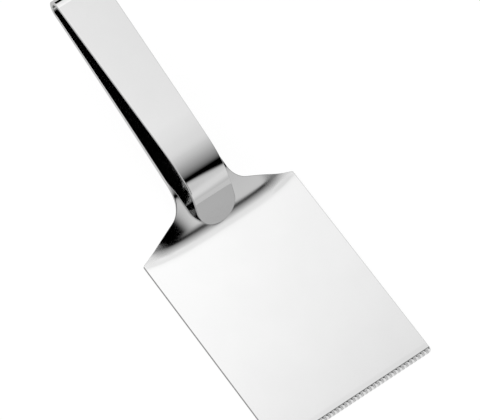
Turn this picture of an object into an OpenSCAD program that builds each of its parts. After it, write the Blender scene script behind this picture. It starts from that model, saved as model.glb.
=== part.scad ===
// Serving spatula folded from one strip of polished sheet steel.
// A flat rectangular blade runs up over a cranked shoulder into the underside of the handle,
// turns back on itself in one round fold, comes forward as the top of the handle and ends in
// a round tongue that drops to the foot of the shoulder. The front edge is ground and fluted.

/* [Sheet] */
// Thickness of the steel sheet
sheet_t = 2; // [1:0.1:3]
// Inner radius of the bend at the foot of the shoulder
foot_bend_r = 8; // [4:0.1:12]

/* [Blade] */
// Length of the blade from the rear corners to the front edge
blade_l = 112; // [80:1:160]
// Width of the blade at its front edge
blade_w = 90; // [70:1:130]
// Width of the blade across its rear corners
blade_rear_w = 89; // [68:1:130]
// Radius of the two front corners in plan
corner_r = 1.2; // [0.6:0.1:4]

/* [Ground front edge] */
// Length of the ground bevel from the front edge back
bevel_l = 2.2; // [1:0.1:4]
// Thickness left at the very edge
edge_t = 0.6; // [0.1:0.05:0.8]
// Wanted width of one flute along the edge
flute_pitch = 2.43; // [1.8:0.01:5]
// Distance from the bevel's top line to the start of the flutes
flute_start = 0.3; // [0.1:0.05:0.8]
// Depth of the flutes below the bevel at the very edge
flute_depth = 0.5; // [0.2:0.05:0.9]

/* [Shoulder] */
// Angle at which the shoulder climbs from the blade
shoulder_rise = 36; // [28:1:50]
// Length of the flat part of the shoulder's climb
shoulder_flat_l = 18.3; // [12:0.1:24]
// Inner radius of the bend from the shoulder into the handle
neck_bend_r = 11.5; // [5:0.1:20]
// Angle in plan between the handle's axis and the shoulder's straight edge
shoulder_flare = 69.3; // [55:0.1:80]
// Radius in plan of the shoulder's inside corner
shoulder_r = 10.7; // [6:0.1:20]
// Angle in plan that the long blend along the neck turns through
neck_blend = 7.3; // [4:0.1:16]
// Radius in plan of the long blend along the neck
neck_r = 72; // [40:1:110]

/* [Handle] */
// Width of the handle's underside where it leaves the neck
neck_w = 29.7; // [24:0.1:36]
// Width of the handle at its fold
fold_w = 26.2; // [20:0.1:34]
// Slope of the handle's underside where it leaves the neck
neck_slope = 12.2; // [8:0.1:18]
// Length of the handle's underside from neck to fold
under_l = 99.5; // [80:0.1:130]
// Angle by which the underside levels out along its length
under_crown = 4.7; // [1:0.1:7]
// Inner radius of the fold
fold_r = 4.3; // [3:0.1:7]
// Slope of the handle's top
top_slope = 7.2; // [5:0.1:10]

/* [Tongue] */
// Width of the tongue where its round end starts
tongue_w = 21; // [16:0.1:30]
// Inner radius of the long bend from the handle's top into the drop
drop_bend_r = 30; // [18:0.5:40]
// Slope of the short flat between the two bends
drop_slope = 32; // [24:1:40]
// Length of the short flat between the two bends
drop_flat_l = 1; // [0.5:0.1:6]
// Inner radius of the bend from the drop into the tongue
tongue_bend_r = 21.5; // [12:0.5:28]
// Slope of the tongue
tongue_slope = 58.5; // [50:0.5:66]
// Distance of the tongue's tip in front of the rear corners
tongue_reach = 1.8; // [1:0.1:6]
// Clearance between the tongue's tip and the foot of the shoulder
tongue_gap = 0.2; // [0.15:0.05:2]

/* [Hidden] */

// Largest turn and largest length of one facet along a bend and along the shoulder's outline
BEND_STEP = 3;
BEND_FACET = 14;
OUTLINE_STEP = 5;
OUTLINE_FACET = 3;
// Fineness of round cuts
$fn = 48;
// Overlap past a face that a cut or an outline goes through
PAST = 1;
// Amount by which the tongue's sides lie inside its round end
EASE = 0.02;

// A station on the middle of the sheet is [x, z, heading]. The heading is an angle from +X
// towards +Z, and the side that the fold closes on lies clockwise of it.
function along(h) = [cos(h), sin(h)];
function inward(h) = [sin(h), -cos(h)];
function place(s) = [s[0], s[1]];
function last(list) = list[len(list) - 1];
function cross2(a, b) = a[0] * b[1] - a[1] * b[0];
function facets(r, turn, widest, longest) =
    ceil(max(abs(turn) / widest, r * abs(turn) * PI / 180 / longest));

// A run of sheet is [length, 0] where it is flat, or [radius of its middle, turn] where it
// bends, with the turn positive towards the inside of the fold.
function flat(l) = [l, 0];
function bend(r, turn) = [r + sheet_t / 2, turn];
function arched(l, turn) = [l / (abs(turn) * PI / 180), turn];

function after(s, run) =
    run[1] == 0
    ? [concat(place(s) + run[0] * along(s[2]), s[2])]
    : let (
        steps = facets(run[0], run[1], BEND_STEP, BEND_FACET),
        r = sign(run[1]) * run[0]
    )
    [for (i = [1:steps])
        let (h = s[2] - run[1] * i / steps)
        concat(place(s) + r * (inward(s[2]) - inward(h)), h)];

function walk(s, runs, i = 0) =
    i == len(runs)
    ? [s]
    : let (made = after(s, runs[i]))
    concat([s], [for (k = [0:1:len(made) - 2]) made[k]], walk(last(made), runs, i + 1));

// The sheet's lower run, from the front edge over the shoulder and round the fold
foot_back = (foot_bend_r + sheet_t / 2) * tan(shoulder_rise / 2);
fold_slope = neck_slope - under_crown;
fold_turn = 180 - fold_slope + top_slope;
lower = walk([blade_l, sheet_t / 2, 180], [
    flat(blade_l - foot_back),
    bend(foot_bend_r, shoulder_rise),
    flat(shoulder_flat_l),
    bend(neck_bend_r, neck_slope - shoulder_rise),
    arched(under_l, -under_crown),
    bend(fold_r, fold_turn)
]);
fold_end = last(lower);

// The drop between the handle's top and the tongue, walked from zero to know its reach
drop = [
    bend(drop_bend_r, drop_slope - top_slope),
    flat(drop_flat_l),
    bend(tongue_bend_r, tongue_slope - drop_slope)
];
drop_reach = place(last(walk([0, 0, -top_slope], drop)));

// Where the tongue's lower edge ends, and how far the foot's bend has risen there
tip_back = tongue_reach - sheet_t / 2 * sin(tongue_slope);
past_foot = max(0, foot_back - tip_back);
foot_rise = foot_bend_r - sqrt(pow(foot_bend_r, 2) - pow(past_foot, 2));

// Lengths of the top and of the tongue that bring the tip to its place over the foot
tip = [tongue_reach, sheet_t + foot_rise + tongue_gap + sheet_t / 2 * cos(tongue_slope)];
to_tip = tip - place(fold_end) - drop_reach;
top_dir = along(-top_slope);
tongue_dir = along(-tongue_slope);
top_l = cross2(to_tip, tongue_dir) / cross2(top_dir, tongue_dir);
tongue_l = cross2(top_dir, to_tip) / cross2(top_dir, tongue_dir);
upper = walk(fold_end, concat([flat(top_l)], drop, [flat(tongue_l)]));

// Where the tongue's round end starts, the farthest point of the fold, the middle of the whole
// length, and the place clear of the fold from which both strips taper
round_x = tip[0] - tongue_w / 2 * cos(tongue_slope);
back_x = min([for (s = lower) (place(s) - sheet_t / 2 * inward(s[2]))[0]]);
mid_x = (blade_l + back_x) / 2;
taper_x = fold_end[0] + sheet_t;

// Half outline of the shoulder in plan, found back from the rear corner
spread = (blade_rear_w - neck_w) / 2;
blend_spread = neck_r * (1 - cos(neck_blend));
inside_spread = shoulder_r * (cos(neck_blend) - cos(shoulder_flare));
edge_l = (spread - blend_spread - inside_spread) / sin(shoulder_flare);
blend_l = neck_r * sin(neck_blend);
inside_l = shoulder_r * (sin(shoulder_flare) - sin(neck_blend));
neck_x = -(edge_l * cos(shoulder_flare) + inside_l + blend_l);

function arc(centre, r, from, to) =
    let (steps = facets(r, to - from, OUTLINE_STEP, OUTLINE_FACET))
    [for (i = [0:steps]) let (a = from + (to - from) * i / steps) centre + r * [cos(a), sin(a)]];

function mirrored(half) =
    concat(half, [for (i = [len(half) - 1:-1:0]) [half[i][0], -half[i][1]]]);

module ribbon(stations, width) {
    inner = [for (s = stations) place(s) + sheet_t / 2 * inward(s[2])];
    outer = [for (s = stations) place(s) - sheet_t / 2 * inward(s[2])];
    rotate([90, 0, 0])
        linear_extrude(height = width, center = true)
            polygon(concat(inner, [for (i = [len(outer) - 1:-1:0]) outer[i]]));
}

module lower_outline() {
    blend_centre = [neck_x, neck_w / 2 + neck_r];
    inside_centre = blend_centre + (neck_r - shoulder_r) * [sin(neck_blend), -cos(neck_blend)];
    corner_centre = [blade_l - corner_r, blade_w / 2 - corner_r];
    polygon(mirrored(concat(
        [[back_x - PAST, fold_w / 2], [taper_x, fold_w / 2]],
        arc(blend_centre, neck_r, -90, neck_blend - 90),
        arc(inside_centre, shoulder_r, neck_blend - 90, shoulder_flare - 90),
        [[0, blade_rear_w / 2]],
        arc(corner_centre, corner_r, 90, 0)
    )));
}

module upper_outline() {
    polygon(mirrored([
        [back_x - PAST, fold_w / 2],
        [taper_x, fold_w / 2],
        [round_x, tongue_w / 2 - EASE],
        [tongue_reach + sheet_t, tongue_w / 2 - EASE]
    ]));
}

// Cuts a strip to an outline that is seen from above
module cut_to_outline(height) {
    intersection() {
        children(0);
        translate([0, 0, -PAST])
            linear_extrude(height = height + 2 * PAST)
                children(1);
    }
}

// Everything beyond the round end of the tongue, in the tongue's own plane
module tongue_end_cut() {
    r = tongue_w / 2;
    translate([tip[0], 0, tip[1]])
        rotate([0, tongue_slope, 0])
            translate([-r, 0, 0])
                difference() {
                    translate([0, -tongue_w, -sheet_t])
                        cube([tongue_w, 2 * tongue_w, 2 * sheet_t]);
                    cylinder(r = r, h = 3 * sheet_t, center = true);
                }
}

// The bevel, and the row of flutes that deepen along it until they meet at the very edge
module front_grinding() {
    bevel_angle = atan((sheet_t - edge_t) / bevel_l);
    bevel_face = norm([bevel_l, sheet_t - edge_t]);
    count = round(blade_w / flute_pitch);
    pitch = blade_w / count;
    wheel_r = (pow(flute_depth, 2) + pow(pitch / 2, 2)) / (2 * flute_depth);
    translate([blade_l - bevel_l, 0, sheet_t])
        rotate([0, bevel_angle, 0]) {
            translate([-PAST, -blade_w / 2 - PAST, 0])
                cube([bevel_face + 2 * PAST, blade_w + 2 * PAST, sheet_t]);
            translate([flute_start, 0, 0])
                rotate([0, atan(flute_depth / (bevel_face - flute_start)), 0])
                    for (i = [0:count - 1])
                        translate([-PAST, (i + 0.5) * pitch - blade_w / 2, wheel_r])
                            rotate([0, 90, 0])
                                cylinder(r = wheel_r, h = bevel_face + 2 * PAST);
        }
}

module blade_and_underside() {
    difference() {
        cut_to_outline(fold_end[1] + sheet_t) {
            ribbon(lower, blade_w + 2 * PAST);
            lower_outline();
        }
        front_grinding();
    }
}

module top_and_tongue() {
    difference() {
        cut_to_outline(fold_end[1] + sheet_t) {
            ribbon(upper, fold_w + 2 * PAST);
            upper_outline();
        }
        tongue_end_cut();
    }
}

module spatula() {
    color("silver")
        translate([-mid_x, 0, 0]) {
            blade_and_underside();
            top_and_tongue();
        }
}

spatula();
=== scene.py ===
# Serving spatula of folded, polished sheet steel: one fine mesh in place of its CAD solid
import math

import bmesh
import bpy
import numpy as np
from mathutils import Matrix, Vector


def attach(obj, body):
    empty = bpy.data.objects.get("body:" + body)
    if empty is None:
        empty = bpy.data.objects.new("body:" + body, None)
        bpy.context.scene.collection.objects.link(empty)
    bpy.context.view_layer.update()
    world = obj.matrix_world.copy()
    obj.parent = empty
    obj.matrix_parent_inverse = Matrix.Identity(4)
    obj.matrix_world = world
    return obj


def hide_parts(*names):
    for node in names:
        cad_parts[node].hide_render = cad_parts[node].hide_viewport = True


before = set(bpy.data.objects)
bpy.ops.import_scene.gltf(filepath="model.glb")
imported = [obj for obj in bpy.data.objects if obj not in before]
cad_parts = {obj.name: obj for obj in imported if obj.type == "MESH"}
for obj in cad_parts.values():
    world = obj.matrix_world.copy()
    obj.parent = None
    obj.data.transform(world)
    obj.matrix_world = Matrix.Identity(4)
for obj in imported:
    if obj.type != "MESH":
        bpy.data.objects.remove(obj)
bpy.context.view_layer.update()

MM = 0.001

# Sizes in millimetres and slopes in degrees, with the values of the part's source
SHEET_T = 2.0
FOOT_BEND_R = 8.0
BLADE_L = 112.0
BLADE_W = 90.0
BLADE_REAR_W = 89.0
CORNER_R = 1.2
BEVEL_L = 2.2
EDGE_T = 0.6
FLUTE_PITCH = 2.43
FLUTE_START = 0.3
FLUTE_DEPTH = 0.5
SHOULDER_RISE = 36.0
SHOULDER_FLAT_L = 18.3
NECK_BEND_R = 11.5
SHOULDER_FLARE = 69.3
SHOULDER_R = 10.7
NECK_BLEND = 7.3
NECK_R = 72.0
NECK_W = 29.7
FOLD_W = 26.2
NECK_SLOPE = 12.2
UNDER_L = 99.5
UNDER_CROWN = 4.7
FOLD_R = 4.3
TOP_SLOPE = 7.2
TONGUE_W = 21.0
DROP_BEND_R = 30.0
DROP_SLOPE = 32.0
DROP_FLAT_L = 1.0
TONGUE_BEND_R = 21.5
TONGUE_SLOPE = 58.5
TONGUE_REACH = 1.8
TONGUE_GAP = 0.2

# Forms that only the scene has, in the same units
EASE_R = 0.2           # rounding of the cut edges
REAR_CORNER_R = 0.7    # rounding of the blade's rear corners in plan
BEVEL_TOP_R = 1.0      # rounding where the top turns down into the bevel
LAND = 0.04            # thickness left where a flute runs out of the sheet
TIP_CLOSER = 0.15      # how much closer to the foot the tongue's tip lies than in the solid
SOFT = 2.0             # how gently a bend starts and ends, along the sheet
DROP_TWIST = 0.13      # twist at the middle of the drop, up on the right and down on the left
TWIST_X = (-17.5, -8.5)    # where the twist starts and ends
LEAD_L = 25.0          # length over which the handle's top leans down before the drop
LEAD_TURN = 1.6        # how far it does so

# The foot's crease
CREASE_BACK = 3.8      # how far the crease runs back at the blade's side
CREASE_POWER = 3.5     # how late it does so
CREASE_FADE = 0.7      # share of that which is gone up the shoulder
FADE_X = (-2.0, -14.0)     # where the share starts to go and where it is gone
FOOT_FORWARD = 0.85    # how far the foot's bend lies in front of its place in the solid
FORWARD_X = (-22.0, -3.0)  # where up the shoulder that starts and where it is whole
CORNER_FLAT = 0.85     # share of the bend that the sheet's rear corners don't take
CORNER_GROWTH = 2.2    # how strongly the bend is lost towards them
CORNER_POWER = 10.0    # how late it is lost
LOSS_X = 1.0           # where the loss starts
LOSS_SOFT = 1.0        # over what length it starts
BLADE_FADE_X = (40.0, 10.0)    # where on the blade all this starts and where it is whole

# Fineness of the mesh, in millimetres and degrees
FINE = 0.7             # turn of one facet in a bend
FOLD_FINE = 3.0        # the same in the fold
PLAN_FINE = 1.5        # the same in the arcs of the outline
CORNER_FINE = 6.0      # the same in the blade's rear corners
BEVEL_FINE = 4.0       # the same in the rounding above the bevel
LINE_STEP = 0.1        # step along a line while it is softened
SPREADS = 3.0          # half width of the weighted mean, in spreads
WEIGHTS = 25           # number of its weights
STRAIGHT_L = 4.0       # longest facet of a softened line where it runs straight
TURNING_L = 1.0        # longest facet where it turns
STRAIGHT = 0.03        # turn up to which it counts as straight
OUTLINE_STEP = 0.02    # step over which the outline's lean is taken
COLUMNS = 32           # facets across the strip
SUPPORT = 0.25         # distance of the columns that keep faces flat beside a cut edge
EDGE_TURNS = (22.5, 45.0, 67.5, 90.0)  # angles round a cut edge's rounding
FOOT_ROWS = (-9.0, 5.0, 0.25)  # rows round the foot: from, to and step
BAND_L = 5.0           # length of the finely meshed band at the front edge
BLADE_ROWS = (6.0, BLADE_L - BAND_L - 2.0, 3.0)    # rows on the blade: from, to and step
END_ROOM = 0.5         # length without further rows at each end of the lower run
LEAST_ROW = 0.08       # least distance of two rows
END_TURNS = (*range(0, 84, 3), 84.5, 87.0, 88.8)   # angles of the rows round the tongue's end
END_GAP = 0.1          # least distance of the row before them
FLUTE_COLUMNS = 12     # facets across one flute
FLUTE_ROWS = 4         # facets along one flute
CORNER_COLUMNS = 8     # facets across a front corner's rounding
DIGITS = 5             # decimals to which places across the blade are told apart
MERGE = 0.002 * MM     # distance up to which two points become one
LEAST_EDGE = 0.001 * MM    # length up to which an edge is dropped
SHARP_TURN = 28.0      # turn from which an edge is shaded sharp

# Material slots of the mesh
POLISHED, CUT, GROUND = 0, 1, 2


def rad(a):
    return a * math.pi / 180


def along(h):
    """Direction [x, z] of heading h."""
    return np.array([math.cos(rad(h)), math.sin(rad(h))])


def inward(h):
    """Direction [x, z] across heading h, to the side that a bend turns to."""
    return np.array([math.sin(rad(h)), -math.cos(rad(h))])


def share(v, start, end):
    """How far v has come on its way from start to end, from 0 to 1."""
    return np.clip((v - start) / (end - start), 0.0, 1.0)


def bend(r, turn):
    """A bend of inner radius r, as its radius on the middle of the sheet and its turn."""
    return (r + SHEET_T / 2, turn)


def walk(start, runs, fine=FINE):
    """Stations [x, z, heading] on the middle of the sheet along flats and bends."""
    x, z, h = start
    out = [(x, z, h)]
    for length, turn in runs:
        p = np.array([x, z])
        if turn == 0:
            q = p + length * along(h)
            out.append((q[0], q[1], h))
        else:
            steps = max(2, math.ceil(abs(turn) / fine))
            r = math.copysign(length, turn)
            for i in range(1, steps + 1):
                g = h - turn * i / steps
                q = p + r * (inward(h) - inward(g))
                out.append((q[0], q[1], g))
            h = h - turn
        x, z = q
    return out


def softened(stations, straight_end=0.0):
    """The same line with each bend run gently in and out, as a weighted mean along the line. It
    leaves straight stretches, both ends and the last straight_end where they are."""
    line = np.array(stations)
    s = np.concatenate([[0.0], np.cumsum(np.hypot(*np.diff(line[:, :2], axis=0).T))])
    at = np.append(np.arange(0.0, s[-1], LINE_STEP), s[-1])
    spread = np.clip(np.minimum(at, s[-1] - straight_end - at) / SPREADS, 0.0, SOFT)
    reach = np.linspace(-SPREADS, SPREADS, WEIGHTS)
    weight = np.exp(-reach ** 2 / 2)
    weight /= weight.sum()
    places = at[:, None] + spread[:, None] * reach
    means = np.stack([np.interp(places, s, line[:, k]) @ weight for k in range(3)], axis=1)
    out = [means[0]]
    for p in means[1:-1]:
        turned, gone = abs(p[2] - out[-1][2]), np.hypot(*(p[:2] - out[-1][:2]))
        if turned >= FINE or gone >= STRAIGHT_L or (turned > STRAIGHT and gone >= TURNING_L):
            out.append(p)
    return np.array([*out, means[-1]])


# The lower run from the front edge over the shoulder to the end of the fold
foot_back = (FOOT_BEND_R + SHEET_T / 2) * math.tan(rad(SHOULDER_RISE / 2))
fold_turn = 180 - (NECK_SLOPE - UNDER_CROWN) + TOP_SLOPE
to_fold = walk((BLADE_L, SHEET_T / 2, 180.0), [
    (BLADE_L - foot_back, 0),
    bend(FOOT_BEND_R, SHOULDER_RISE),
    (SHOULDER_FLAT_L, 0),
    bend(NECK_BEND_R, NECK_SLOPE - SHOULDER_RISE),
    (UNDER_L / rad(UNDER_CROWN), -UNDER_CROWN),
])
fold = walk(to_fold[-1], [bend(FOLD_R, fold_turn)], FOLD_FINE)
fold_end = fold[-1]

# The sheet's upper and lower faces over the plan, up to the start of the fold
low = softened(to_fold)[::-1]
low_slope = np.radians(180 - low[:, 2])
low_normal = np.stack([np.sin(low_slope), np.cos(low_slope)], axis=1)
over = low[:, :2] + low_normal * SHEET_T / 2
under = low[:, :2] - low_normal * SHEET_T / 2


def crease(x, y):
    """How far the foot's bend has run back at x, y. To the sides it curves back, less so up the
    shoulder, and its end is lost in the corners. All of it lies a little forward."""
    out = np.abs(y) / (BLADE_REAR_W / 2)
    back = CREASE_BACK * out ** CREASE_POWER * (1.0 - CREASE_FADE * share(x, *FADE_X))
    behind = (LOSS_X - x + np.sqrt((LOSS_X - x) ** 2 + LOSS_SOFT ** 2)) / 2
    lost = np.minimum(CORNER_FLAT, CORNER_GROWTH * out ** CORNER_POWER)
    up = share(x, *FORWARD_X)
    forward = FOOT_FORWARD * up ** 2 * (3 - 2 * up)
    return (back + lost * behind - forward) * share(x, *BLADE_FADE_X)


def height(face, x, y):
    """Height of the upper or lower face at x, y."""
    return np.interp(x + crease(x, y), face[:, 0], face[:, 1])


# The upper run, whose top and tongue are as long as brings the tip to its place
drop = [
    (LEAD_L / rad(LEAD_TURN), LEAD_TURN),
    bend(DROP_BEND_R, DROP_SLOPE - TOP_SLOPE - LEAD_TURN),
    (DROP_FLAT_L, 0),
    bend(TONGUE_BEND_R, TONGUE_SLOPE - DROP_SLOPE),
]
drop_end = walk((0.0, 0.0, -TOP_SLOPE), drop)[-1]
tip_back = TONGUE_REACH - SHEET_T / 2 * math.sin(rad(TONGUE_SLOPE))
foot_z = float(height(over, tip_back, 0.0))
tip_lift = TONGUE_GAP - TIP_CLOSER + SHEET_T / 2 * math.cos(rad(TONGUE_SLOPE))
tip = np.array([TONGUE_REACH, foot_z + tip_lift])
to_tip = tip - np.array(fold_end[:2]) - np.array(drop_end[:2])
top_dir, tongue_dir = along(-TOP_SLOPE), along(-TONGUE_SLOPE)
top_l, tongue_l = np.linalg.solve(np.stack([top_dir, tongue_dir], axis=1), to_tip)
upper = softened(walk(fold_end, [(top_l, 0), *drop, (tongue_l, 0)]), TONGUE_W / 2)

back_x = min(s[0] - SHEET_T / 2 * inward(s[2])[0] for s in fold)
mid_x = (BLADE_L + back_x) / 2


def arc(centre, r, start, end, fine=PLAN_FINE):
    """Points round a centre from one angle to another."""
    n = max(2, math.ceil(abs(end - start) / fine))
    return [centre + r * along(start + (end - start) * i / n) for i in range(n + 1)]


def rounded(a, corner, b, r):
    """The corner between a and b, replaced by an arc of radius r."""
    u, v = (a - corner) / np.linalg.norm(a - corner), (b - corner) / np.linalg.norm(b - corner)
    half = math.acos(np.clip(u @ v, -1, 1)) / 2
    middle = (u + v) / np.linalg.norm(u + v)
    centre = corner + middle * r / math.sin(half)
    s, e = corner + u * r / math.tan(half) - centre, corner + v * r / math.tan(half) - centre
    start = math.degrees(math.atan2(s[1], s[0]))
    turn = (math.degrees(math.atan2(e[1], e[0])) - start + 180) % 360 - 180
    return arc(centre, r, start, start + turn, CORNER_FINE)


# Half outline of the lower run in plan, from the blade's front back to the fold
spread = (BLADE_REAR_W - NECK_W) / 2
blend_spread = NECK_R * (1 - math.cos(rad(NECK_BLEND)))
inside_spread = SHOULDER_R * (math.cos(rad(NECK_BLEND)) - math.cos(rad(SHOULDER_FLARE)))
edge_l = (spread - blend_spread - inside_spread) / math.sin(rad(SHOULDER_FLARE))
blend_l = NECK_R * math.sin(rad(NECK_BLEND))
inside_l = SHOULDER_R * (math.sin(rad(SHOULDER_FLARE)) - math.sin(rad(NECK_BLEND)))
neck_x = -(edge_l * math.cos(rad(SHOULDER_FLARE)) + inside_l + blend_l)
blend_centre = np.array([neck_x, NECK_W / 2 + NECK_R])
inside_centre = blend_centre + (NECK_R - SHOULDER_R) * inward(NECK_BLEND)
inside = arc(inside_centre, SHOULDER_R, SHOULDER_FLARE - 90, NECK_BLEND - 90)
rear_corner = np.array([0.0, BLADE_REAR_W / 2])
front_side = np.array([BLADE_L, BLADE_W / 2])
side_points = np.array([
    front_side,
    *rounded(front_side, rear_corner, inside[0], REAR_CORNER_R),
    *inside,
    *arc(blend_centre, NECK_R, NECK_BLEND - 90, -90)[1:],
    [fold_end[0], FOLD_W / 2],
])
side_x, side_y = side_points[::-1, 0], side_points[::-1, 1]


def half_width(x):
    """Half width of the lower run at x."""
    return np.interp(x, side_x, side_y)


across = np.concatenate([[-1.0], np.linspace(-1.0, 1.0, COLUMNS + 1), [1.0]])
n_cols, n_edge = len(across), 2 * len(EDGE_TURNS)


def columns_at(y_in):
    """Places across a row, with one close to each side to hold the face flat where it fits."""
    y = across * y_in
    if y_in > 2 * SUPPORT:
        y[1], y[-2] = SUPPORT - y_in, y_in - SUPPORT
    return y


def plan_row(x):
    """One closed row round the sheet at the outline's place x in plan: the top from left to
    right, the right edge, the underside from right to left and the left edge. The cut edges
    stand upright and are rounded."""
    y_out = float(half_width(x))
    rise = float(half_width(x + OUTLINE_STEP) - half_width(x - OUTLINE_STEP))
    lean = rise / (2 * OUTLINE_STEP)
    out = np.array([-lean, 1.0]) / math.hypot(lean, 1.0)
    p = np.array([x, y_out]) - out * EASE_R
    y = columns_at(p[1])
    xs = np.full(n_cols, p[0])
    top = np.stack([xs, y, height(over, xs, y)], axis=1)
    bottom = np.stack([xs, y, height(under, xs, y)], axis=1)[::-1]

    def edge(side):
        points = []
        for face, sign, turns in ((over, -1, EDGE_TURNS), (under, 1, EDGE_TURNS[::-1])):
            for a in turns:
                q = np.array([x, y_out]) - out * EASE_R * (1 - math.sin(rad(a)))
                z = height(face, q[0], q[1]) + sign * EASE_R * (1 - math.cos(rad(a)))
                points.append((q[0], side * q[1], float(z)))
        return points[::side]

    return np.concatenate([top, edge(1), bottom, edge(-1)])


def strip_row(station, w, out_x=0.0, out_y=1.0):
    """The same row across the fold, the handle's top or the tongue, where out_x and out_y say
    which way the outline faces. The side that is the top of the lower run is the inside of the
    fold, so the rows keep their order all the way."""
    x, z, h = station
    d, k = along(h), inward(h)
    start = np.array([x, z]) - out_x * EASE_R * d
    y = columns_at(w - out_y * EASE_R)
    twist = DROP_TWIST * math.sin(math.pi * share(start[0], *TWIST_X)) ** 2
    raised = twist * y / (TONGUE_W / 2)
    mid = np.stack([np.full(n_cols, start[0]), y, start[1] + raised], axis=1)
    to_face = np.array([k[0], 0.0, k[1]]) * SHEET_T / 2

    def edge(side):
        points = []
        for sign, turns in ((1, EDGE_TURNS), (-1, EDGE_TURNS[::-1])):
            for a in turns:
                q = start + d * out_x * EASE_R * math.sin(rad(a))
                q = q + k * sign * (SHEET_T / 2 - EASE_R + EASE_R * math.cos(rad(a)))
                y_edge = y[-1] + out_y * EASE_R * math.sin(rad(a))
                points.append((q[0], side * y_edge, q[1] + side * raised[-1]))
        return points[::side]

    return np.concatenate([mid + to_face, edge(1), (mid - to_face)[::-1], edge(-1)])


# Rows of the lower run: at its stations, at its outline's bends, round the foot and on the blade
front = BLADE_L - BAND_L
stops = {float(p[0]) for p in over} | {float(p[0]) for p in side_points[1:-1]}
stops |= set(np.arange(*FOOT_ROWS)) | set(np.arange(*BLADE_ROWS))
kept = [front]
for v in sorted(stops, reverse=True):
    if over[0][0] + END_ROOM < v < front - END_ROOM and kept[-1] - v > LEAST_ROW:
        kept.append(v)
rows = [plan_row(x) for x in kept]
rows += [strip_row(s, FOLD_W / 2) for s in [to_fold[-1], *fold[1:]]]

# Rows of the upper run, with a straight taper to where the tongue's round end starts
end_r = TONGUE_W / 2
taper_x = (fold_end[0], tip[0] - end_r * math.cos(rad(TONGUE_SLOPE)))
for s in upper[1:]:
    if (tip - s[:2]) @ tongue_dir >= end_r + END_GAP:
        t = (s[0] - taper_x[0]) / (taper_x[1] - taper_x[0])
        rows.append(strip_row(s, FOLD_W / 2 + (TONGUE_W - FOLD_W) / 2 * t))
end_centre = tip - end_r * tongue_dir
for a in END_TURNS:
    c, s = math.cos(rad(a)), math.sin(rad(a))
    station = (*(end_centre + end_r * s * tongue_dir), -TONGUE_SLOPE)
    rows.append(strip_row(station, end_r * c, out_x=s, out_y=c))

verts = np.concatenate(rows)
loop = len(rows[0])
faces, kinds = [], []
for i in range(len(rows) - 1):
    for j in range(loop):
        k = (j + 1) % loop
        faces.append((i * loop + j, i * loop + k, (i + 1) * loop + k, (i + 1) * loop + j))
        on_right = n_cols <= j < n_cols + n_edge - 1
        on_left = 2 * n_cols + n_edge <= j < loop - 1
        kinds.append(CUT if on_right or on_left else POLISHED)
# The tongue's very tip
last_row = (len(rows) - 1) * loop
faces.append(tuple(last_row + j for j in range(loop)))
kinds.append(CUT)

# The front band: columns along the blade with the bevel and the flutes
bevel_angle = math.degrees(math.atan((SHEET_T - EDGE_T) / BEVEL_L))
bevel_face = math.hypot(BEVEL_L, SHEET_T - EDGE_T)
count = round(BLADE_W / FLUTE_PITCH)
pitch = BLADE_W / count
wheel_r = (FLUTE_DEPTH ** 2 + (pitch / 2) ** 2) / (2 * FLUTE_DEPTH)
flute_turn = math.degrees(math.atan(FLUTE_DEPTH / (bevel_face - FLUTE_START)))
bevel_dir, flute_dir = along(-bevel_angle), along(-bevel_angle - flute_turn)
w_front = BLADE_W / 2
bevel_start = np.array([BLADE_L - BEVEL_L, SHEET_T])
round_centre = bevel_start - BEVEL_TOP_R * np.array([math.tan(rad(bevel_angle / 2)), 1.0])
bevel_top = arc(round_centre, BEVEL_TOP_R, 90.0, 90.0 - bevel_angle, BEVEL_FINE)
n_round = len(bevel_top)


def sunk(y_abs, w, r):
    """How far a rounding of radius r has dropped at a distance y_abs from the middle."""
    inset = y_abs - (w - r)
    return r - math.sqrt(max(r ** 2 - inset ** 2, 0.0)) if inset > 0 else 0.0


def column(y):
    """Points [x, z] down the ground edge at y: the rounding above the bevel, the bevel's top, the
    start of the flute and the very edge. Also how far the cut edge's rounding has dropped."""
    fall = sunk(abs(y), w_front, EASE_R)
    x_end = BLADE_L - sunk(abs(y), w_front, CORNER_R)
    q = (y + w_front) / pitch
    q = (q - math.floor(q) - 0.5) * pitch
    rise = wheel_r - math.sqrt(wheel_r ** 2 - q ** 2)
    rounding = [(x, min(z, SHEET_T - fall)) for x, z in bevel_top]
    top = bevel_start + np.array([fall / math.tan(rad(bevel_angle)), -fall])
    if top[0] < bevel_top[-1][0]:
        top = bevel_top[-1]
    b = bevel_start + (FLUTE_START + rise / math.sin(rad(flute_turn))) * bevel_dir
    if b[0] < top[0]:
        b = top
    if b[0] > x_end:
        b = top + (b - top) * (x_end - top[0]) / (b[0] - top[0])
    c = b + flute_dir * min((b[1] - LAND) / -flute_dir[1], (x_end - b[0]) / flute_dir[0])
    return rounding, top, b, c, fall


ys = [-w_front + pitch * (i + k / FLUTE_COLUMNS) for i in range(count) for k in range(FLUTE_COLUMNS)]
ys = [v for v in ys if abs(v) < w_front - CORNER_R]
corner_ys = list(np.linspace(w_front - CORNER_R, w_front - EASE_R, CORNER_COLUMNS + 1)[:-1])
corner_ys += [w_front - EASE_R + EASE_R * math.sin(rad(a)) for a in (0, *EDGE_TURNS)]
ys = sorted({round(float(v), DIGITS) for v in [-v for v in corner_ys] + ys + corner_ys})
narrowing = float(half_width(front)) / w_front
band = []
for y in ys:
    rounding, top, b, c, fall = column(y)
    flute = [b + (c - b) * k / FLUTE_ROWS for k in range(1, FLUTE_ROWS + 1)]
    band.append([
        (front, y * narrowing, SHEET_T - fall),
        *((x, y, z) for x, z in (*rounding, top, b, *flute)),
        (c[0], y, min(fall, c[1])),
        (front, y * narrowing, fall),
    ])
band = np.array(band)
n_y, n_p, _ = band.shape
base = len(verts)
verts = np.concatenate([verts, band.reshape(-1, 3)])
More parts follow.
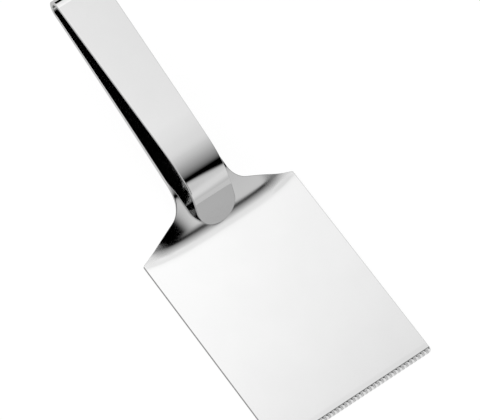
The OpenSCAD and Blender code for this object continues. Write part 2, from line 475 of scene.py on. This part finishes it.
for i in range(n_y - 1):
    for k in range(n_p - 1):
        p, q = base + i * n_p + k, base + (i + 1) * n_p + k
        faces.append((p, p + 1, q + 1, q))
        kinds.append(GROUND if n_round <= k < n_p - 2 else POLISHED)


def zip_rows(a, b, up):
    """Triangles between two rows of vertex numbers that run the same way across the blade."""
    out, i, j = [], 0, 0
    while i < len(a) - 1 or j < len(b) - 1:
        step_a = j == len(b) - 1 or (i < len(a) - 1 and verts[a[i + 1]][1] <= verts[b[j + 1]][1])
        if step_a:
            out.append((a[i], b[j], a[i + 1]))
            i += 1
        else:
            out.append((a[i], b[j], b[j + 1]))
            j += 1
    return out if up else [t[::-1] for t in out]


# Joins the coarse row of the blade to the fine row of the band, above and below
half_edge = n_edge // 2
right = [n_cols + k for k in range(n_edge)]
left = [2 * n_cols + n_edge + k for k in range(n_edge)]
row_top = left[half_edge:] + list(range(n_cols)) + right[:half_edge]
row_low = (right[half_edge:] + [n_cols + n_edge + k for k in range(n_cols)] + left[:half_edge])[::-1]
joins = zip_rows(row_top, [base + i * n_p for i in range(n_y)], True)
joins += zip_rows(row_low, [base + i * n_p + n_p - 1 for i in range(n_y)], False)
faces += joins
kinds += [POLISHED] * len(joins)
# The narrow side walls of the band, left and right
for i in (0, n_y - 1):
    wall = tuple(base + i * n_p + k for k in range(n_p))
    faces.append(wall if i == 0 else wall[::-1])
    kinds.append(CUT)

verts[:, 0] -= mid_x
mesh = bpy.data.meshes.new("spatula_sheet")
mesh.from_pydata((verts * MM).tolist(), [], faces)
mesh.update()
mesh.polygons.foreach_set("material_index", kinds)
sheet = bpy.data.objects.new("spatula_sheet", mesh)
bpy.context.scene.collection.objects.link(sheet)

bm = bmesh.new()
bm.from_mesh(mesh)
bmesh.ops.remove_doubles(bm, verts=bm.verts, dist=MERGE)
bmesh.ops.dissolve_degenerate(bm, edges=bm.edges, dist=LEAST_EDGE)
bmesh.ops.recalc_face_normals(bm, faces=bm.faces)
for f in bm.faces:
    f.smooth = True
bm.to_mesh(mesh)
bm.free()
mesh.set_sharp_from_angle(angle=rad(SHARP_TURN))

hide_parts("spatula")
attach(sheet, "root")


# Looks of the steel, with lengths in metres
TINT_EDGE = (0.85, 0.85, 0.85, 1.0)        # tint of what it reflects at a grazing angle
CLOUD_SCALE, CLOUD_DETAIL = 40.0, 3.0      # clouds of slightly different polish
GRAIN_SCALE, GRAIN_DETAIL = 400.0, 2.0     # fine grain
NOISE_ROUGH = 0.6          # how rough both noises are
CLOUD_STOPS = (0.3, 0.7)   # values of the clouds between which the tint changes
CLOUD_DULL = (0.9, 1.1)    # how the roughness changes between the same
GRAIN_STOPS = (0.35, 0.75)     # values of the grain between which the roughness changes
BUMP_DEPTH = 0.00002       # depth of the grain
EDGE_SHADE_Z = (0.0024, 0.005)   # painted shade on a cut edge: heights up to which it is full and from which it is gone
HAZE_X = (1.6 - mid_x) * MM    # middle of the haze in the foot
HAZE_HALF = (0.0017, 0.0052)   # distances from it at which it starts to fade and is gone
HAZE_LEFT_Y = (-0.026, -0.014)     # it is thinner on the left of the first, not right of the second
HAZE_LEFT_LESS = 0.45      # share that is missing there
HAZE_ENDS = (0.026, 0.036)     # distances from the middle where it follows the crease back
HAZE_ENDS_BACK = 0.0042    # how far back it does so
HAZE_ENDS_MORE = 0.9       # how much stronger it is there


def link(nt, a, b):
    nt.links.new(a, b)


def node_material(name):
    """A material, its node tree and its shader."""
    m = bpy.data.materials.new(name)
    m.use_nodes = True
    nt = m.node_tree
    return m, nt, next(n for n in nt.nodes if n.type == "BSDF_PRINCIPLED")


def scaled_coords(nt, scale):
    """The object's own coordinates, stretched."""
    tc = nt.nodes.new("ShaderNodeTexCoord")
    mp = nt.nodes.new("ShaderNodeMapping")
    mp.inputs["Scale"].default_value = scale
    link(nt, tc.outputs["Object"], mp.inputs["Vector"])
    return mp.outputs["Vector"]


def apart(nt, vector):
    """The X, Y and Z of a vector."""
    split = nt.nodes.new("ShaderNodeSeparateXYZ")
    link(nt, vector, split.inputs[0])
    return [split.outputs[axis] for axis in "XYZ"]


def noise(nt, vector, scale, detail):
    n = nt.nodes.new("ShaderNodeTexNoise")
    n.inputs["Scale"].default_value = scale
    n.inputs["Detail"].default_value = detail
    n.inputs["Roughness"].default_value = NOISE_ROUGH
    link(nt, vector, n.inputs["Vector"])
    return n.outputs["Fac"]


def ramp(nt, fac, stops):
    """Grey ramp through stops of [place, value]."""
    r = nt.nodes.new("ShaderNodeValToRGB")
    e = r.color_ramp.elements
    while len(e) > 1:
        e.remove(e[-1])
    e[0].position = stops[0][0]
    e[0].color = (*[stops[0][1]] * 3, 1)
    for place, v in stops[1:]:
        e.new(place).color = (v, v, v, 1)
    link(nt, fac, r.inputs["Fac"])
    return r.outputs["Color"]


def maths(nt, operation, a, b):
    """A Math node of two values, each a number or an output."""
    n = nt.nodes.new("ShaderNodeMath")
    n.operation = operation
    for socket, v in zip(n.inputs, (a, b)):
        if isinstance(v, (int, float)):
            socket.default_value = v
        else:
            link(nt, v, socket)
    return n.outputs[0]


def smooth(nt, v, low, high):
    """0 up to low, 1 from high and smooth between them."""
    n = nt.nodes.new("ShaderNodeMapRange")
    n.interpolation_type = "SMOOTHSTEP"
    n.inputs["From Min"].default_value = low
    n.inputs["From Max"].default_value = high
    link(nt, v, n.inputs["Value"])
    return n.outputs["Result"]


def between(nt, v, rise, fall):
    """1 between two smooth thresholds and 0 outside them."""
    return maths(nt, "SUBTRACT", smooth(nt, v, *rise), smooth(nt, v, *fall))


def without(nt, v, part):
    """The value v with that part of it taken away."""
    return maths(nt, "MULTIPLY", v, maths(nt, "SUBTRACT", 1.0, part))


def foot_haze(nt):
    """How much haze lies at a place, a band in the hollow of the foot. Its ends follow the crease
    back and are stronger, and on the left it is thinner, but not at its end."""
    x, y, _ = apart(nt, scaled_coords(nt, (1, 1, 1)))
    ends = smooth(nt, maths(nt, "ABSOLUTE", y, 0), *HAZE_ENDS)
    centre = maths(nt, "SUBTRACT", HAZE_X, maths(nt, "MULTIPLY", ends, HAZE_ENDS_BACK))
    away = maths(nt, "ABSOLUTE", maths(nt, "SUBTRACT", x, centre), 0)
    haze = maths(nt, "SUBTRACT", 1.0, smooth(nt, away, *HAZE_HALF))
    on_left = maths(nt, "SUBTRACT", 1.0, smooth(nt, y, *HAZE_LEFT_Y))
    haze = without(nt, haze, maths(nt, "MULTIPLY", without(nt, on_left, ends), HAZE_LEFT_LESS))
    more = maths(nt, "ADD", maths(nt, "MULTIPLY", ends, HAZE_ENDS_MORE), 1.0)
    return maths(nt, "MULTIPLY", haze, more)


def steel(name, grain_scale, colour, rough, bump, haze=0.0, edge_shade_level=1.0):
    """Steel whose fine grain runs one way, with clouds of slightly different polish. The haze is
    what the polishing wheel leaves in the hollow of the foot. The last argument is how bright a cut
    edge stays low down under painted shade, which stands for the floor's shadow that it reflects
    there."""
    m, nt, bsdf = node_material(name)
    bsdf.inputs["Metallic"].default_value = 1.0
    bsdf.inputs["Specular Tint"].default_value = TINT_EDGE
    cloud = noise(nt, scaled_coords(nt, (1, 1, 1)), CLOUD_SCALE, CLOUD_DETAIL)
    grain = noise(nt, scaled_coords(nt, grain_scale), GRAIN_SCALE, GRAIN_DETAIL)
    tint = ramp(nt, cloud, list(zip(CLOUD_STOPS, colour)))
    # Painted shade: a cut edge is darker low down, for the floor's shadow that it reflects beside the
    # table
    if edge_shade_level < 1:
        z = apart(nt, scaled_coords(nt, (1, 1, 1)))[2]
        clear = maths(nt, "MULTIPLY", smooth(nt, z, *EDGE_SHADE_Z), 1.0 - edge_shade_level)
        tint = maths(nt, "MULTIPLY", tint, maths(nt, "ADD", clear, edge_shade_level))
    link(nt, tint, bsdf.inputs["Base Color"])
    dull = maths(nt, "MULTIPLY", ramp(nt, cloud, list(zip(CLOUD_STOPS, CLOUD_DULL))),
                 ramp(nt, grain, list(zip(GRAIN_STOPS, rough))))
    if haze:
        dull = maths(nt, "ADD", dull, maths(nt, "MULTIPLY", foot_haze(nt), haze))
    link(nt, dull, bsdf.inputs["Roughness"])
    relief = nt.nodes.new("ShaderNodeBump")
    relief.inputs["Strength"].default_value = bump
    relief.inputs["Distance"].default_value = BUMP_DEPTH
    link(nt, grain, relief.inputs["Height"])
    link(nt, relief.outputs["Normal"], bsdf.inputs["Normal"])
    return m


# The three finishes, in the order of the mesh's material slots
FINISHES = {
    "polished_steel": dict(
        grain_scale=(1, 14, 6), colour=(0.645, 0.66), rough=(0.03, 0.055), bump=0.02, haze=0.17),
    # The cut edge gets painted shade low down, where it reflects the floor's shadow
    "cut_edge_steel": dict(
        grain_scale=(6, 6, 1), colour=(0.6, 0.66), rough=(0.14, 0.26), bump=0.1, edge_shade_level=0.5),
    "ground_steel": dict(
        grain_scale=(1, 16, 1), colour=(0.7, 0.76), rough=(0.1, 0.2), bump=0.06),
}
for name, finish in FINISHES.items():
    mesh.materials.append(steel(name, **finish))

# Floor: it takes a shadow, and the camera sees it nearly white and reflections a little darker
FLOOR_HALF, FLOOR_DROP = 3.0, 0.0001
FLOOR_COLOUR, FLOOR_ROUGH = (0.95, 0.95, 0.95, 1), 0.9
FLOOR_WHITE = 1.06         # its own light as the camera sees it
FLOOR_REFLECTED = 0.25     # how much less a reflection sees
FLOOR_LIT = 0.85           # share of its own light in what the camera and reflections see
floor_material, nt, bsdf = node_material("pale_floor")
bsdf.inputs["Base Color"].default_value = FLOOR_COLOUR
bsdf.inputs["Roughness"].default_value = FLOOR_ROUGH
bsdf.inputs["Specular IOR Level"].default_value = 0.0
emit = nt.nodes.new("ShaderNodeEmission")
path = nt.nodes.new("ShaderNodeLightPath")
dimmed = maths(nt, "MULTIPLY", path.outputs["Is Glossy Ray"], FLOOR_REFLECTED)
link(nt, maths(nt, "SUBTRACT", FLOOR_WHITE, dimmed), emit.inputs["Strength"])
seen = maths(nt, "ADD", path.outputs["Is Camera Ray"], path.outputs["Is Glossy Ray"])
seen = maths(nt, "ADD", seen, path.outputs["Is Transmission Ray"])
mixer = nt.nodes.new("ShaderNodeMixShader")
link(nt, maths(nt, "MULTIPLY", seen, FLOOR_LIT), mixer.inputs[0])
link(nt, bsdf.outputs[0], mixer.inputs[1])
link(nt, emit.outputs[0], mixer.inputs[2])
link(nt, mixer.outputs[0],
     next(n for n in nt.nodes if n.type == "OUTPUT_MATERIAL").inputs["Surface"])
floor_mesh = bpy.data.meshes.new("floor")
floor_mesh.from_pydata(
    [(x * FLOOR_HALF, y * FLOOR_HALF, -FLOOR_DROP) for x, y in ((-1, -1), (1, -1), (1, 1), (-1, 1))],
    [], [(0, 1, 2, 3)])
floor = bpy.data.objects.new("floor", floor_mesh)
bpy.context.scene.collection.objects.link(floor)
floor_mesh.materials.append(floor_material)

# Studio world: grey by the angle from straight up towards +X, darker in places around it
OVERHEAD = [
    (-180, 0.9), (-90, 0.95), (-60, 1.1), (-15.1, 1.45), (-14.4, 1.4), (-13, 1.15), (-8, 1.16),
    (-1.2, 1.21), (0.5, 1.06), (4, 0.89), (26.5, 0.41), (33.6, 0.22), (37, 0.08), (39.3, 0.0),
    (45.6, 0.0), (48.7, 0.58), (53, 0.84), (65, 0.98), (78, 0.98), (88, 0.75), (100, 0.9), (180, 1.0)]
STUDIO_LEVEL = 1.065
# A black panel in front, which the shoulder's left wing reflects
PANEL_X, PANEL_Z = (0.56, 0.64), (0.3, 0.4)
PANEL_Y = ((-0.12, -0.04), (0.244, 0.283))
# A fade towards +Y over the direction that level faces reflect
FADE_Y, FADE_LESS = (0.262, 0.326), 0.14
# A grey strip on the +Y side
STRIP_Y, STRIP_LESS = ((0.4, 0.55), (0.82, 0.92)), 0.42
# A black panel low behind
BEHIND_X, BEHIND_Z = (0.78, 0.86), (0.42, 0.5)
BEHIND_Y = ((0.18, 0.22), (0.36, 0.4))
world = bpy.data.worlds.new("studio")
bpy.context.scene.world = world
world.use_nodes = True
nt = world.node_tree
nt.nodes.clear()
x, y, z = apart(nt, nt.nodes.new("ShaderNodeTexCoord").outputs["Generated"])
# The angle as a share of a whole turn that starts straight down
turn = maths(nt, "MULTIPLY_ADD", maths(nt, "ARCTAN2", x, z), 0.5 / math.pi)
turn.node.inputs[2].default_value = 0.5
level = ramp(nt, turn, [((a + 180.0) / 360.0, v) for a, v in OVERHEAD])
panel = maths(nt, "MULTIPLY", smooth(nt, x, *PANEL_X), smooth(nt, z, *PANEL_Z))
level = without(nt, level, maths(nt, "MULTIPLY", panel, between(nt, y, *PANEL_Y)))
fade = maths(nt, "MULTIPLY", smooth(nt, y, *FADE_Y), FADE_LESS)
level = maths(nt, "MULTIPLY", level, maths(nt, "SUBTRACT", STUDIO_LEVEL, fade))
level = without(nt, level, maths(nt, "MULTIPLY", between(nt, y, *STRIP_Y), STRIP_LESS))
low_down = without(nt, between(nt, y, *BEHIND_Y), smooth(nt, z, *BEHIND_Z))
behind = smooth(nt, maths(nt, "MULTIPLY", x, -1.0), *BEHIND_X)
level = without(nt, level, maths(nt, "MULTIPLY", behind, low_down))
background = nt.nodes.new("ShaderNodeBackground")
link(nt, level, background.inputs["Color"])
world_out = nt.nodes.new("ShaderNodeOutputWorld")
link(nt, background.outputs[0], world_out.inputs["Surface"])

# Camera at the photograph's angle
AIM = Vector((9.235, 10.934, 2.839)) * MM
RIGHT = Vector((0.5876, 0.8035, 0.0956))
UP = Vector((-0.7673, 0.5158, 0.3810))
DISTANCE = 2.5             # from the place it aims at, in metres
SENSOR_W, LENS = 36.0, 390.0   # in millimetres
CLIP = (0.1, 20.0)         # nearest and farthest distance that it sees, in metres
back = RIGHT.cross(UP).normalized()
up = back.cross(RIGHT.normalized()).normalized()
turned = Matrix((up.cross(back), up, back)).transposed().to_4x4()
cam_data = bpy.data.cameras.new("camera")
cam_data.sensor_width, cam_data.lens = SENSOR_W, LENS
cam_data.clip_start, cam_data.clip_end = CLIP
cam = bpy.data.objects.new("camera", cam_data)
bpy.context.scene.collection.objects.link(cam)
cam.matrix_world = Matrix.Translation(AIM + back * DISTANCE) @ turned
bpy.context.scene.camera = cam

bpy.context.scene.view_settings.view_transform = "Standard"
